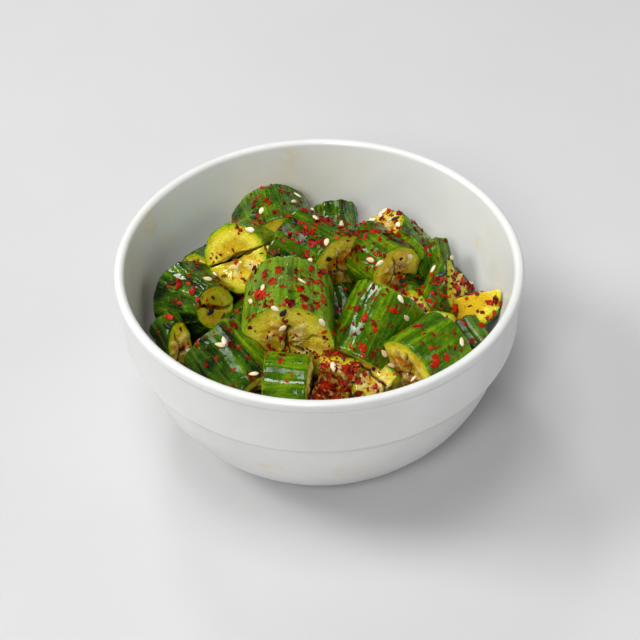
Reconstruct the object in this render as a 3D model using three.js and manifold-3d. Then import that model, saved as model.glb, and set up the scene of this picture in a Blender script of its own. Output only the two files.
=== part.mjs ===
// A bowl of smashed cucumber salad, in millimetres, +Z up.
// The origin is the centre of the bowl's foot, on the surface that it stands on. -Y is the front.
// Two solids: the stoneware bowl, and the heap of cucumber chunks as one solid out to its uneven outline.
import * as THREE from "three";
import { mergeVertices } from "three/addons/utils/BufferGeometryUtils.js";
import Module from "manifold-3d";

const wasm = await Module();
wasm.setup();

// ---- Driving dimensions of the bowl ----
const RIM_RADIUS = 70;
const BOWL_HEIGHT = 66;
const LIP_THICKNESS = 3.2;
const LIP_OVERHANG = 1.1;
const LIP_DEPTH = 4.5;
const BAND_BOTTOM_RADIUS = 68.6; // the wide band under the lip ends here, over a step
const STEP_HEIGHT = 42.2;
const STEP_EDGE = 1.2;
const LOWER_CENTRE = { r: 6, z: 44 }; // the lower wall is a quarter ellipse round this ring
const LOWER_SEMI = { r: 59, z: 54.6 };
const FOOT_RING_WIDTH = 4.5;
const FOOT_RECESS = 1.6;
const INNER_CENTRE = { r: 6, z: 52 };
const INNER_FLOOR = 4.8;
const INNER_WAIST_RADIUS = 63.4; // inner radius where the curved floor meets the straight wall
const BOWL_SEGMENTS = 56;
const ARC_STEPS = 8;

// ---- Driving dimensions of the heap ----
const WALL_GAP = 0.4; // between the heap and the bowl
const CORE_EDGE_HEIGHT = 33; // height of the packed inside of the heap at the wall
const CORE_DOME_RISE = 6;
const HEAP_CEILING = 90;
const CHUNK_SEGMENTS = 10;
const CHUNK_EDGE = 1; // worn edge round a chunk's cut faces
const CHUNK_BULGE = 0.4; // a cucumber is a little fuller at the middle of a chunk

// The chunks of the heap. at is a chunk's middle, radius and length are its size, heading turns its axis
// from +X, tilt lifts that end, tip is the radius at that end when it tapers, part is what the splitting
// has left of it, and roll turns the split face about the axis.
const CHUNKS = [
  { at: [-10.7, -11.5, 53.5], radius: 15.6, length: 21, heading: -92, tilt: -9 },
  { at: [-1.2, 17, 53], radius: 14, length: 23.5, heading: -38, tilt: -4 },
  { at: [18.8, -15, 47.5], radius: 13, length: 26, heading: -123, tilt: -33 },
  { at: [35.8, -28.7, 46], radius: 13, length: 20, heading: -136, tilt: 0 },
  { at: [-29.9, -29.5, 44], radius: 12.5, length: 24, heading: -50, tilt: -20 },
  { at: [-11.3, -37.5, 44], radius: 10.5, length: 15, heading: -8, tilt: 0 },
  { at: [5, -35, 42], radius: 9.5, length: 13, heading: -15, tilt: -5 },
  { at: [15.8, -32, 41], radius: 8.5, length: 17, heading: -50, tilt: -12, part: "half", roll: 180 },
  { at: [-41.6, 3.7, 44], radius: 14.5, length: 18, heading: -50, tilt: 25, tip: 7.8 },
  { at: [-50, -14, 43.5], radius: 6, length: 16, heading: -60, tilt: -15 },
  { at: [-25.6, 25.7, 48.5], radius: 11.8, length: 22, heading: -112, tilt: 30 },
  { at: [-40.5, 25, 43.5], radius: 6.5, length: 13, heading: -120, tilt: 20 },
  { at: [-15, 40, 44.5], radius: 15, length: 22, heading: -78, tilt: 5 },
  { at: [6.6, 41, 47], radius: 8, length: 15, heading: -85, tilt: -30 },
  { at: [30, 28.8, 50], radius: 10, length: 21, heading: -22, tilt: -38 },
  { at: [41, 22.5, 42.5], radius: 7.5, length: 17, heading: -75, tilt: -30 },
  { at: [21, 16.5, 51], radius: 11, length: 20, heading: -48, tilt: -4 },
  { at: [43.5, 5, 45.5], radius: 8, length: 17, heading: -118, tilt: -28 },
  { at: [54, -1.6, 47], radius: 9, length: 19, heading: 35, tilt: 10, part: "half", roll: 150 },
  { at: [51.5, -15.5, 43], radius: 6, length: 12, heading: -60, tilt: -15 },
  { at: [32.4, -3.7, 46.5], radius: 5.5, length: 12, heading: -70, tilt: 0 },
  { at: [41, -10.5, 45], radius: 5, length: 9, heading: -20, tilt: 10 },
  { at: [36, 9, 40], radius: 7.5, length: 14, heading: -30, tilt: 0 },
  { at: [4.8, -18.7, 38], radius: 11, length: 20, heading: -100, tilt: -15 },
  { at: [8, 5, 39.5], radius: 10, length: 18, heading: -70, tilt: -20 },
  // the lower layer, which fills the gaps by the wall
  { at: [-16, -46, 34], radius: 10, length: 19, heading: 15, tilt: 0 },
  { at: [9, -49, 33], radius: 9.5, length: 18, heading: -12, tilt: 0 },
  { at: [32, -39, 34], radius: 7.5, length: 17, heading: 39, tilt: 0 },
  { at: [-36, 38, 34], radius: 6.5, length: 16, heading: 43, tilt: 0 },
  { at: [14, 50, 32], radius: 7, length: 20, heading: -16, tilt: 0 },
  { at: [33, 40, 33], radius: 7, length: 18, heading: -40, tilt: 0 },
  { at: [49, 20, 33], radius: 6, length: 16, heading: -68, tilt: 0 },
  { at: [-42, -31, 33], radius: 6.5, length: 16, heading: -36, tilt: 0 },
  { at: [-27, -43, 33], radius: 7.5, length: 15, heading: -32, tilt: 0 },
];

const radians = THREE.MathUtils.degToRad;

// Points along a quarter ellipse, from its low angle to its high angle in degrees.
function ellipseArc(centre, semi, from, to, steps) {
  const points = [];
  for (let i = 0; i <= steps; i++) {
    const angle = radians(from + ((to - from) * i) / steps);
    points.push(new THREE.Vector2(centre.r + semi.r * Math.cos(angle), centre.z + semi.z * Math.sin(angle)));
  }
  return points;
}

// The angle at which an ellipse reaches a height, in degrees.
function angleAtHeight(centre, semi, height) {
  return THREE.MathUtils.radToDeg(Math.asin((height - centre.z) / semi.z));
}

// Turns a profile of radius and height about the vertical axis.
function turned(profile, segments) {
  return new THREE.LatheGeometry(profile, segments).rotateX(Math.PI / 2);
}

// The bowl's inner surface from the middle of its floor up to the lip, moved inwards by a gap.
function innerProfile(gap) {
  const semi = {
    r: INNER_WAIST_RADIUS - INNER_CENTRE.r - gap,
    z: INNER_CENTRE.z - INNER_FLOOR - gap,
  };
  const curve = ellipseArc(INNER_CENTRE, semi, -90, 0, ARC_STEPS + 3);
  const mouth = RIM_RADIUS - LIP_THICKNESS - gap;
  return [new THREE.Vector2(0, INNER_FLOOR + gap), ...curve, new THREE.Vector2(mouth, BOWL_HEIGHT - 1.2)];
}

function bowlGeometry() {
  const lowerStart = angleAtHeight(LOWER_CENTRE, LOWER_SEMI, 0);
  const lowerEnd = angleAtHeight(LOWER_CENTRE, LOWER_SEMI, STEP_HEIGHT - STEP_EDGE);
  const lowerWall = ellipseArc(LOWER_CENTRE, LOWER_SEMI, lowerStart, lowerEnd, ARC_STEPS);
  const footRadius = lowerWall[0].x;
  const lipOuter = RIM_RADIUS - LIP_OVERHANG;
  const profile = [
    new THREE.Vector2(0, FOOT_RECESS),
    new THREE.Vector2(footRadius - FOOT_RING_WIDTH - FOOT_RECESS, FOOT_RECESS),
    new THREE.Vector2(footRadius - FOOT_RING_WIDTH, 0),
    ...lowerWall,
    new THREE.Vector2(BAND_BOTTOM_RADIUS - STEP_EDGE, STEP_HEIGHT - STEP_EDGE / 2),
    new THREE.Vector2(BAND_BOTTOM_RADIUS, STEP_HEIGHT + STEP_EDGE),
    new THREE.Vector2(lipOuter, BOWL_HEIGHT - LIP_DEPTH),
    new THREE.Vector2(RIM_RADIUS, BOWL_HEIGHT - LIP_DEPTH + LIP_OVERHANG),
    new THREE.Vector2(RIM_RADIUS, BOWL_HEIGHT - LIP_OVERHANG),
    new THREE.Vector2(RIM_RADIUS - LIP_OVERHANG, BOWL_HEIGHT),
    new THREE.Vector2(RIM_RADIUS - LIP_THICKNESS + 0.8, BOWL_HEIGHT),
    ...innerProfile(0).reverse(),
  ];
  return turned(profile, BOWL_SEGMENTS);
}

// A closed geometry as a solid that can be joined and cut.
function solid(geometry) {
  const bare = geometry.clone();
  bare.deleteAttribute("normal");
  bare.deleteAttribute("uv");
  const merged = mergeVertices(bare, 1e-4);
  return new wasm.Manifold(
    new wasm.Mesh({
      numProp: 3,
      vertProperties: new Float32Array(merged.attributes.position.array),
      triVerts: new Uint32Array(merged.index.array),
    }),
  );
}

function geometryOf(made) {
  const mesh = made.getMesh();
  const geometry = new THREE.BufferGeometry();
  geometry.setAttribute("position", new THREE.BufferAttribute(mesh.vertProperties, 3));
  geometry.setIndex(new THREE.BufferAttribute(mesh.triVerts, 1));
  return geometry;
}

// A box that stands on the XY plane, used to keep the half that is left of a split chunk.
function upperHalf(size) {
  return solid(new THREE.BoxGeometry(size * 2, size * 2, size).translate(0, 0, size / 2));
}

// One chunk: a length of cucumber along +X with worn edges, split if it is a half, and put in place.
function chunkSolid({ at, radius, length, heading, tilt, tip = radius, part = "whole", roll = 0 }) {
  const half = length / 2;
  const profile = [
    new THREE.Vector2(0, -half),
    new THREE.Vector2(radius - CHUNK_EDGE, -half),
    new THREE.Vector2(radius, -half + CHUNK_EDGE),
    new THREE.Vector2((radius + tip) / 2 + CHUNK_BULGE + (radius - tip) / 4, 0),
    new THREE.Vector2(tip, half - CHUNK_EDGE),
    new THREE.Vector2(tip - CHUNK_EDGE, half),
    new THREE.Vector2(0, half),
  ];
  const log = new THREE.LatheGeometry(profile, CHUNK_SEGMENTS).rotateZ(-Math.PI / 2);
  const place = new THREE.Matrix4()
    .makeTranslation(...at)
    .multiply(new THREE.Matrix4().makeRotationZ(radians(heading)))
    .multiply(new THREE.Matrix4().makeRotationY(radians(-tilt)))
    .multiply(new THREE.Matrix4().makeRotationX(radians(roll)));
  let made = solid(log);
  if (part === "half") made = made.intersect(upperHalf(length + radius));
  return made.transform(place.elements);
}

// The packed inside of the heap, under the chunks, up to a low dome.
function coreSolid() {
  const inner = innerProfile(WALL_GAP).filter((point) => point.y < CORE_EDGE_HEIGHT);
  const edge = inner[inner.length - 1].x;
  const dome = [1, 0.75, 0.5, 0.25, 0].map(
    (share) => new THREE.Vector2(edge * share, CORE_EDGE_HEIGHT + CORE_DOME_RISE * (1 - share * share)),
  );
  return solid(turned([...inner, ...dome], BOWL_SEGMENTS));
}

// The space inside the bowl, a gap clear of its wall.
function hollowSolid() {
  const inner = innerProfile(WALL_GAP);
  const mouth = inner[inner.length - 1].x;
  const above = [new THREE.Vector2(mouth, HEAP_CEILING), new THREE.Vector2(0, HEAP_CEILING)];
  return solid(turned([...inner, ...above], BOWL_SEGMENTS));
}

function heapGeometry() {
  const heap = CHUNKS.reduce((all, chunk) => all.add(chunkSolid(chunk)), coreSolid());
  return geometryOf(heap.intersect(hollowSolid()));
}

function part(name, geometry, colour, roughness) {
  const material = new THREE.MeshStandardMaterial({ color: colour, roughness, metalness: 0 });
  const mesh = new THREE.Mesh(geometry, material);
  mesh.name = name;
  return mesh;
}

const salad = new THREE.Group();
salad.add(part("bowl", bowlGeometry(), 0xe6e7e4, 0.35));
salad.add(part("cucumber_heap", heapGeometry(), 0x4f8f2a, 0.3));

export default salad;
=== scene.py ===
import logging
import math
import random
from collections.abc import Iterable, Sequence
from dataclasses import dataclass, field
from enum import Enum

import bmesh
import bpy
import numpy as np
from mathutils import Matrix, Vector, noise
from mathutils.bvhtree import BVHTree


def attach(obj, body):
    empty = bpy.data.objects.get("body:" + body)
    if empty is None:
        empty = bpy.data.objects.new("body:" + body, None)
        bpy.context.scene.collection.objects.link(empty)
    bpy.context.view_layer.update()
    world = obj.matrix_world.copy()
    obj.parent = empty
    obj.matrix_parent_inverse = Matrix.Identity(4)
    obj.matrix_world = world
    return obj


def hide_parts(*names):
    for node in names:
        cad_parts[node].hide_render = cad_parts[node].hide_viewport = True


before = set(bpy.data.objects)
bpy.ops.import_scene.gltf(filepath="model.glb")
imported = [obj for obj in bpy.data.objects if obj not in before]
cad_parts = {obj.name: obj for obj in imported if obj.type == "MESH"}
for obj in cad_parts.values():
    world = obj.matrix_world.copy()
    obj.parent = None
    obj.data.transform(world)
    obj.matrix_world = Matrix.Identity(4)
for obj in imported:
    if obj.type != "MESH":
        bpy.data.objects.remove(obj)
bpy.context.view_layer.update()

log = logging.getLogger("cucumber_salad")

MM = 0.001
MERGE_DISTANCE = 1e-6
HEAP_NODE = "cucumber_heap"
BOWL_NODE = "bowl"
BODY = "root"

Socket = bpy.types.NodeSocket
Feed = Socket | float | Sequence[float]
Colour = tuple[float, float, float, float]
Triple = tuple[float, float, float]


class Slot(Enum):
    """Names for the places on the salad that take a finish."""

    GLAZE = "glaze"
    CUCUMBER = "cucumber"


def stand_for(piece: bpy.types.Object, node: str, slot: Slot) -> None:
    """Puts a piece on the body in place of a part of the solid model.

    Args:
        piece: the finished piece.
        node: the part that it stands for.
        slot: where its finish belongs; not used.
    """
    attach(piece, BODY)
    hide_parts(node)


# ---------------------------------------------------------------- shader tools


def srgb(red: float, green: float, blue: float) -> Colour:
    """Turns a colour given in screen values of 0 to 255 into scene-linear RGBA.

    Args:
        red: the red screen value.
        green: the green screen value.
        blue: the blue screen value.

    Returns:
        The linear colour with an alpha of 1.
    """

    def linear(value: float) -> float:
        """Returns the linear light of one screen value."""
        share = value / 255
        return share / 12.92 if share <= 0.04045 else ((share + 0.055) / 1.055) ** 2.4

    return (linear(red), linear(green), linear(blue), 1.0)


@dataclass
class Graph:
    """Writes nodes and links into one node tree."""

    tree: bpy.types.NodeTree
    count: int = 0

    def node(self, kind: str) -> bpy.types.Node:
        """Adds a node of a kind, set out in rows so that the tree can be read."""
        made = self.tree.nodes.new(kind)
        made.location = (220 * (self.count % 8), -260 * (self.count // 8))
        self.count += 1
        return made

    def feed(self, socket: Socket, source: Feed) -> None:
        """Joins a socket to another socket, or gives it a constant.

        Args:
            socket: the input to set.
            source: an output socket, or a number or tuple.
        """
        if isinstance(source, bpy.types.NodeSocket):
            self.tree.links.new(source, socket)
        else:
            socket.default_value = source

    def math(self, operation: str, a: Feed, b: Feed = 0.0, clamp: bool = False) -> Socket:
        """Returns the result of one arithmetic step.

        Args:
            operation: the math node's operation.
            a: the first value.
            b: the second value.
            clamp: True keeps the result within 0 and 1.

        Returns:
            The output socket.
        """
        made = self.node("ShaderNodeMath")
        made.operation = operation
        made.use_clamp = clamp
        self.feed(made.inputs[0], a)
        self.feed(made.inputs[1], b)
        return made.outputs[0]

    def blend(self, share: Feed, a: Feed, b: Feed) -> Socket:
        """Returns a blend of two colours.

        Args:
            share: how much of the second colour shows, 0 to 1.
            a: the first colour.
            b: the second colour.

        Returns:
            The output socket.
        """
        made = self.node("ShaderNodeMix")
        made.data_type = "RGBA"
        made.clamp_factor = True
        self.feed(made.inputs[0], share)
        self.feed(made.inputs[6], a)
        self.feed(made.inputs[7], b)
        return made.outputs[2]

    def span(self, value: Feed, low: float, high: float, start: float = 0.0, end: float = 1.0) -> Socket:
        """Returns a value eased from one range to another.

        Args:
            value: the value to map.
            low: the input that gives start.
            high: the input that gives end.
            start: the output at low.
            end: the output at high.

        Returns:
            The output socket.
        """
        made = self.node("ShaderNodeMapRange")
        made.interpolation_type = "SMOOTHSTEP"
        self.feed(made.inputs["Value"], value)
        for name, constant in (("From Min", low), ("From Max", high), ("To Min", start), ("To Max", end)):
            self.feed(made.inputs[name], constant)
        return made.outputs[0]

    def mottle(self, vector: Socket, scale: float, low: float = 0.0, high: float = 1.0) -> Socket:
        """Returns soft uneven patches as a value from low to high."""
        return self.use(mottle_group(), vector=vector, scale=scale, low=low, high=high)

    def speckle(self, vector: Socket, scale: float, size: float, share: float) -> Socket:
        """Returns scattered round specks as a mask."""
        return self.use(speckle_group(), vector=vector, scale=scale, size=size, share=share)

    def attribute(self, name: str) -> bpy.types.Node:
        """Returns a node that reads a mesh attribute."""
        made = self.node("ShaderNodeAttribute")
        made.attribute_name = name
        return made

    def parts(self, vector: Socket) -> tuple[Socket, Socket, Socket]:
        """Returns the three components of a vector."""
        made = self.node("ShaderNodeSeparateXYZ")
        self.feed(made.inputs[0], vector)
        return made.outputs[0], made.outputs[1], made.outputs[2]

    def stretch(self, vector: Socket, scale: Triple) -> Socket:
        """Returns a vector with each component scaled."""
        made = self.node("ShaderNodeVectorMath")
        made.operation = "MULTIPLY"
        self.feed(made.inputs[0], vector)
        self.feed(made.inputs[1], scale)
        return made.outputs[0]

    def bump(self, height: Socket, strength: float, distance: float) -> Socket:
        """Returns a normal bent by a height.

        Args:
            height: the height field.
            strength: the bump's strength.
            distance: the height of a full step, in metres.

        Returns:
            The output socket.
        """
        made = self.node("ShaderNodeBump")
        made.inputs["Strength"].default_value = strength
        made.inputs["Distance"].default_value = distance
        self.feed(made.inputs["Height"], height)
        return made.outputs[0]

    def use(self, group: bpy.types.NodeTree, **values: Feed) -> Socket:
        """Adds a group and feeds its named inputs.

        Args:
            group: the group's node tree.
            **values: the inputs by name, in lower case.

        Returns:
            The group's first output.
        """
        made = self.node("ShaderNodeGroup")
        made.node_tree = group
        for name, value in values.items():
            self.feed(made.inputs[name.capitalize()], value)
        return made.outputs[0]


def new_group(
    name: str, inputs: Iterable[tuple[str, str, float]], output: str
) -> tuple[Graph, bpy.types.Node]:
    """Starts a shader node group with named inputs and one value output.

    Args:
        name: the group's name.
        inputs: for each input its name, its socket type and its default number.
        output: the output's name.

    Returns:
        The graph to write in, and the group's input node.
    """
    tree = bpy.data.node_groups.new(name, "ShaderNodeTree")
    for label, kind, default in inputs:
        made = tree.interface.new_socket(label, in_out="INPUT", socket_type=kind)
        if kind == "NodeSocketFloat":
            made.default_value = default
    tree.interface.new_socket(output, in_out="OUTPUT", socket_type="NodeSocketFloat")
    graph = Graph(tree)
    return graph, graph.node("NodeGroupInput")


def mottle_group() -> bpy.types.NodeTree:
    """Returns the group for soft uneven patches, as a value between Low and High."""
    found = bpy.data.node_groups.get("mottle")
    if found:
        return found
    graph, entry = new_group(
        "mottle",
        (
            ("Vector", "NodeSocketVector", 0.0),
            ("Scale", "NodeSocketFloat", 1.0),
            ("Low", "NodeSocketFloat", 0.0),
            ("High", "NodeSocketFloat", 1.0),
        ),
        "Value",
    )
    cloud = graph.node("ShaderNodeTexNoise")
    graph.feed(cloud.inputs["Vector"], entry.outputs["Vector"])
    graph.feed(cloud.inputs["Scale"], entry.outputs["Scale"])
    cloud.inputs["Detail"].default_value = 4.0
    cloud.inputs["Roughness"].default_value = 0.6
    made = graph.node("ShaderNodeMapRange")
    graph.feed(made.inputs["Value"], cloud.outputs[0])
    made.inputs["From Min"].default_value = 0.32
    made.inputs["From Max"].default_value = 0.68
    graph.feed(made.inputs["To Min"], entry.outputs["Low"])
    graph.feed(made.inputs["To Max"], entry.outputs["High"])
    out = graph.node("NodeGroupOutput")
    graph.feed(out.inputs["Value"], made.outputs[0])
    return graph.tree


def speckle_group() -> bpy.types.NodeTree:
    """Returns the group for scattered round specks, as a mask of 0 to 1."""
    found = bpy.data.node_groups.get("speckle")
    if found:
        return found
    graph, entry = new_group(
        "speckle",
        (
            ("Vector", "NodeSocketVector", 0.0),
            ("Scale", "NodeSocketFloat", 1.0),
            ("Size", "NodeSocketFloat", 0.2),
            ("Share", "NodeSocketFloat", 0.3),
        ),
        "Mask",
    )
    cells = graph.node("ShaderNodeTexVoronoi")
    graph.feed(cells.inputs["Vector"], entry.outputs["Vector"])
    graph.feed(cells.inputs["Scale"], entry.outputs["Scale"])
    chance = graph.node("ShaderNodeSeparateColor")
    graph.feed(chance.inputs[0], cells.outputs["Color"])
    chosen = graph.math("LESS_THAN", chance.outputs[0], entry.outputs["Share"])
    reach = graph.math("MULTIPLY", entry.outputs["Size"], graph.math("ADD", chance.outputs[1], 0.4))
    inside = graph.math("SUBTRACT", reach, cells.outputs["Distance"])
    soft = graph.math("MULTIPLY", inside, 12.0, clamp=True)
    out = graph.node("NodeGroupOutput")
    graph.feed(out.inputs["Mask"], graph.math("MULTIPLY", soft, chosen))
    return graph.tree


# ---------------------------------------------------------------- finishes


class Finish:
    """A procedural material; each kind fills in paint()."""

    name: str

    def paint(self, graph: Graph, shader: bpy.types.Node) -> None:
        """Sets the shader's sockets.

        Args:
            graph: the graph to write in.
            shader: the Principled node.
        """
        raise NotImplementedError

    def material(self) -> bpy.types.Material:
        """Returns the material, made once."""
        found = bpy.data.materials.get(self.name)
        if found:
            return found
        made = bpy.data.materials.new(self.name)
        made.use_nodes = True
        made.node_tree.nodes.clear()
        graph = Graph(made.node_tree)
        shader = graph.node("ShaderNodeBsdfPrincipled")
        output = graph.node("ShaderNodeOutputMaterial")
        graph.feed(output.inputs["Surface"], shader.outputs[0])
        self.paint(graph, shader)
        return made


def hold(shader: bpy.types.Node, values: dict[str, float | Triple]) -> None:
    """Sets constants on the shader's own sockets."""
    for name, value in values.items():
        shader.inputs[name].default_value = value


@dataclass(frozen=True)
class Stoneware(Finish):
    """White satin glaze with a few dark kiln specks and faint smears of chilli oil."""

    name: str = "white_glaze"
    glaze: Colour = srgb(226, 227, 225)
    shade: Colour = srgb(217, 218, 215)
    speck: Colour = srgb(120, 116, 108)
    oil: Colour = srgb(232, 196, 120)
    waist_radius: float = 0.0634
    waist_height: float = 0.052
    wall_lean: float = 0.24
    inner_smears: int = 9
    outer_smears: int = 2
    outer_radius: float = 0.062
    outer_height: float = 0.026
    chance_seed: int = 4

    def _smears(self) -> list[tuple[Triple, float]]:
        """Returns the middle and the reach of each oil smear, in metres.

        Returns:
            Smears round the right, back and left of the inner wall, then low on the outside at the front.
        """
        chance = random.Random(self.chance_seed)
        found = []
        for number in range(self.inner_smears + self.outer_smears):
            if number < self.inner_smears:
                turn, height = math.radians(chance.uniform(-20, 170)), chance.uniform(0.048, 0.065)
                radius = self.waist_radius + self.wall_lean * max(0.0, height - self.waist_height)
                reach = chance.uniform(0.002, 0.009)
            else:
                turn, height = math.radians(chance.uniform(-115, -65)), self.outer_height
                radius, reach = self.outer_radius, chance.uniform(0.008, 0.011)
            found.append(((radius * math.cos(turn), radius * math.sin(turn), height), reach))
        return found

    def paint(self, graph: Graph, shader: bpy.types.Node) -> None:
        """Sets the glaze's colour, gloss and fine ripple.

        Args:
            graph: the graph to write in.
            shader: the Principled node.
        """
        place = graph.node("ShaderNodeTexCoord").outputs["Object"]
        cloud = graph.mottle(place, 28.0)
        colour = graph.blend(cloud, self.glaze, self.shade)
        specks = graph.speckle(place, 260.0, 0.08, 0.03)
        colour = graph.blend(graph.math("MULTIPLY", specks, 0.55), colour, self.speck)
        for middle, reach in self._smears():
            apart = graph.node("ShaderNodeVectorMath")
            apart.operation = "DISTANCE"
            graph.feed(apart.inputs[0], place)
            graph.feed(apart.inputs[1], middle)
            near = graph.span(apart.outputs["Value"], reach * 0.2, reach, 1.0, 0.0)
            broken = graph.mottle(place, 260.0, -0.5, 1.0)
            mask = graph.math("MULTIPLY", near, graph.math("MULTIPLY", broken, 0.42, clamp=True))
            colour = graph.blend(mask, colour, self.oil)
        graph.feed(shader.inputs["Base Color"], colour)
        graph.feed(shader.inputs["Roughness"], graph.mottle(place, 60.0, 0.30, 0.42))
        hold(
            shader,
            {
                "IOR": 1.5,
                "Coat Weight": 0.25,
                "Coat Roughness": 0.12,
            },
        )
        ripple = graph.mottle(place, 45.0)
        graph.feed(shader.inputs["Normal"], graph.bump(ripple, 0.12, 0.0006))


@dataclass(frozen=True)
class Cucumber(Finish):
    """Wet cucumber: striped green skin, pale flesh and an amber core, by the depth under the skin, with a
    waxy bloom and painted sheen on the brightest skins and painted shade low in the bowl.
    """

    name: str = "wet_cucumber"
    skin_dark: Colour = srgb(10, 34, 0)
    skin_mid: Colour = srgb(60, 102, 0)
    skin_bright: Colour = srgb(120, 160, 0)
    skin_streak: Colour = srgb(158, 186, 36)
    wax_and_sheen: Colour = srgb(136, 164, 62)
    rind: Colour = srgb(190, 204, 6)
    unripe: Colour = srgb(120, 140, 4)
    flesh: Colour = srgb(255, 232, 50)
    flesh_pale: Colour = srgb(255, 240, 96)
    core: Colour = srgb(224, 188, 24)
    seed: Colour = srgb(255, 240, 150)
    bruise: Colour = srgb(160, 88, 8)
    crack: Colour = srgb(40, 20, 2)
    juice: Colour = srgb(212, 128, 14)
    oil: Colour = srgb(204, 62, 8)
    low_shade: Colour = srgb(18, 12, 2)

    def paint(self, graph: Graph, shader: bpy.types.Node) -> None:
        """Sets skin and flesh looks.

        Args:
            graph: the graph to write in.
            shader: the Principled node.
        """
        grain = graph.attribute("grain").outputs["Vector"]
        depth, radial, seed = graph.parts(graph.attribute("layers").outputs["Vector"])
        tone, crack, bruise = graph.parts(graph.attribute("tone_crack_shade_bruise").outputs["Vector"])

        long_grain = graph.stretch(grain, (0.07, 1.0, 1.0))
        band = graph.mottle(long_grain, 0.3, 0.1, 0.75)
        fine = graph.mottle(long_grain, 1.1)
        patch = graph.mottle(grain, 0.1, -0.3, 0.3)
        lightness = graph.math("ADD", graph.math("ADD", band, patch), graph.math("SUBTRACT", tone, 0.5))
        skin = graph.blend(graph.span(lightness, -0.1, 0.4), self.skin_dark, self.skin_mid)
        skin = graph.blend(graph.span(lightness, 0.35, 0.95), skin, self.skin_bright)
        streaks = graph.math("MULTIPLY", graph.span(fine, 0.55, 1.0), graph.span(band, 0.3, 0.75, 0.1, 0.55))
        skin = graph.blend(streaks, skin, self.skin_streak)
        # Waxy bloom and painted sheen: a pale grey-green veil over the brightest chunks' skins is partly
        # bloom and partly the reflection of the light on their tops.
        veil = graph.mottle(grain, 0.13, 0.0, 0.75)
        wax_and_sheen_share = graph.math("MULTIPLY", veil, graph.span(tone, 0.66, 0.75), clamp=True)
        skin = graph.blend(wax_and_sheen_share, skin, self.wax_and_sheen)
        pores = graph.speckle(grain, 0.8, 0.22, 0.35)
        skin = graph.blend(graph.math("MULTIPLY", pores, 0.35), skin, self.skin_streak)

        cloud = graph.mottle(grain, 0.35)
        flesh = graph.blend(cloud, self.flesh, self.flesh_pale)
        flesh = graph.blend(graph.span(depth, 0.5, 3.2, 1.0, 0.0), flesh, self.rind)
        wander = graph.math("ADD", radial, graph.mottle(grain, 0.5, -0.09, 0.09))
        flesh = graph.blend(graph.span(wander, 0.42, 0.66, 0.85, 0.0), flesh, self.core)
        flesh = graph.blend(graph.math("MULTIPLY", seed, 0.8), flesh, self.seed)
        flesh = graph.blend(graph.span(tone, 0.2, 0.34, 0.8, 0.0), flesh, self.unripe)
        blot = graph.math("MULTIPLY", bruise, graph.mottle(grain, 0.4, 0.2, 1.3))
        flesh = graph.blend(blot, flesh, self.bruise)
        # Painted shade: the splits are coloured near black for the shade inside them.
        flesh = graph.blend(crack, flesh, self.crack)
        wash = graph.mottle(grain, 0.2, -0.6, 0.55)
        flesh = graph.blend(wash, flesh, self.juice)
        drops = graph.speckle(grain, 0.6, 0.16, 0.2)
        flesh = graph.blend(graph.math("MULTIPLY", drops, 0.55), flesh, self.oil)

        under = graph.span(depth, 0.25, 0.75)
        # Painted shade: parts low in the bowl, where the heap shades them, are darkened to near black.
        _, _, height = graph.parts(graph.node("ShaderNodeTexCoord").outputs["Object"])
        low_shade_share = graph.span(height, 0.030, 0.047, 0.9, 0.0)
        colour = graph.blend(low_shade_share, graph.blend(under, skin, flesh), self.low_shade)
        graph.feed(shader.inputs["Base Color"], colour)
        wet = graph.mottle(grain, 0.16, 0.2, 0.4)
        graph.feed(shader.inputs["Roughness"], wet)
        graph.feed(
            shader.inputs["Coat Weight"],
            graph.mottle(grain, 0.25, 0.0, 0.9),
        )
        hold(
            shader,
            {
                "Coat Roughness": 0.045,
                "IOR": 1.4,
                "Specular IOR Level": 0.08,
                "Subsurface Weight": 0.5,
                "Subsurface Radius": (1.0, 0.85, 0.15),
                "Subsurface Scale": 0.003,
            },
        )
        rough = graph.mottle(grain, 1.4)
        pimples = graph.mottle(grain, 0.55)
        ridged = graph.math("ADD", graph.math("MULTIPLY", pimples, 1.6), graph.math("MULTIPLY", fine, 0.7))
        relief = graph.blend(under, ridged, rough)
        graph.feed(shader.inputs["Normal"], graph.bump(relief, 0.9, 0.0006))


@dataclass(frozen=True)
class SauceAndShade(Finish):
    """The dark, oily dressing and shade between the chunks."""

    name: str = "dressing_and_shade"
    darkest_with_shade: Colour = srgb(16, 9, 3)
    oily: Colour = srgb(44, 25, 7)

    def paint(self, graph: Graph, shader: bpy.types.Node) -> None:
        """Sets the dressing's colour and gloss.

        Args:
            graph: the graph to write in.
            shader: the Principled node.
        """
        place = graph.node("ShaderNodeTexCoord").outputs["Object"]
        cloud = graph.mottle(place, 140.0)
        graph.feed(shader.inputs["Base Color"], graph.blend(cloud, self.darkest_with_shade, self.oily))
        graph.feed(shader.inputs["Roughness"], graph.mottle(place, 90.0, 0.2, 0.5))
        shader.inputs["Specular IOR Level"].default_value = 0.2
        graph.feed(shader.inputs["Normal"], graph.bump(cloud, 0.4, 0.0008))


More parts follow.
